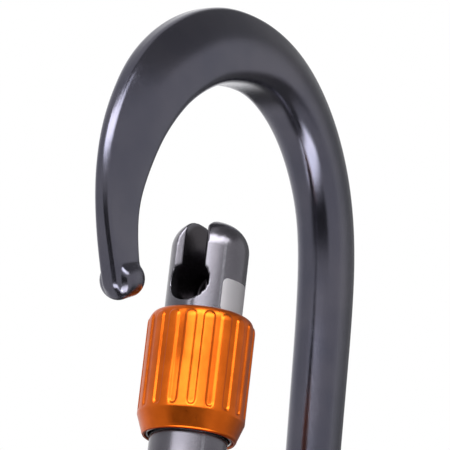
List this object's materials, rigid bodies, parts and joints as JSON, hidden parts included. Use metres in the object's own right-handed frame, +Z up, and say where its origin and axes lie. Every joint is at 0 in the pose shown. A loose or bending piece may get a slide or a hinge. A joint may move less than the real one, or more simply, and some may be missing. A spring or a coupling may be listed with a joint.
{
  "type": "screw-gate belay carabiner",
  "caption": "Forged aluminium locking carabiner: hinged keylock gate with a screw sleeve, wide rope basket, and a sprung wire keeper across the narrow end.",
  "frame": {"origin": "middle of the wide basket's inner face, where the rope or belay loop bears", "axes": "+Z up the length with the wide basket on top, +X towards the spine, -X towards the gate, Y through the thickness"},
  "size_m": [0.0693, 0.016, 0.1137],
  "materials": {
    "gunmetal_anodised": "dark blue-grey anodising, satin gloss with a fine grain",
    "satin_aluminium": "grey anodising, satin",
    "orange_anodised": "orange anodising, glossy",
    "bright_steel": "bright stainless steel",
    "spring_steel": "drawn stainless spring wire"
  },
  "bodies": {
    "body": {"frame": "gunmetal_anodised"},
    "gate": {"gate": "satin_aluminium", "hinge_pin": "bright_steel", "closing_spring": "spring_steel"},
    "rod": {"push_rod": "bright_steel"},
    "ring": {"sleeve_ring": "bright_steel"},
    "sleeve": {"screw_sleeve": "orange_anodised"},
    "keeper": {"keeper_wire": "spring_steel"}
  },
  "joints": [
    {"name": "gate_hinge", "type": "hinge", "parent": "body", "child": "gate", "pos_m": [-0.01971, 0, -0.07726], "axis": [0, 1, 0], "range_deg": [-26.8, 3], "stiffness_Nm_per_rad": 0.08, "springref_deg": -85.94},
    {"name": "push_rod_slide", "type": "slide", "parent": "gate", "child": "rod", "axis": [0.2571, 0, 0.9664], "range_m": [-0.00165, 0.00025], "deforming": ["closing_spring"]},
    {"name": "sleeve_rise", "type": "slide", "parent": "gate", "child": "ring", "axis": [0.2571, 0, 0.9664], "range_m": [0, 0.01]},
    {"name": "sleeve_turn", "type": "hinge", "parent": "ring", "child": "sleeve", "pos_m": [-0.01971, 0, -0.07726], "axis": [0.2571, 0, 0.9664], "range_deg": [0, 1442]},
    {"name": "keeper_hinge", "type": "hinge", "parent": "body", "child": "keeper", "pos_m": [-0.01722, 0, -0.08721], "axis": [0, -1, 0], "range_deg": [0, 28], "stiffness_Nm_per_rad": 0.02, "springref_deg": -28.65}
  ],
  "couplings": [
    {"joint": "push_rod_slide", "follows": "gate_hinge", "m_per_rad": 0.0034206},
    {"joint": "sleeve_turn", "follows": "sleeve_rise", "rad_per_m": 2513.3}
  ]
}
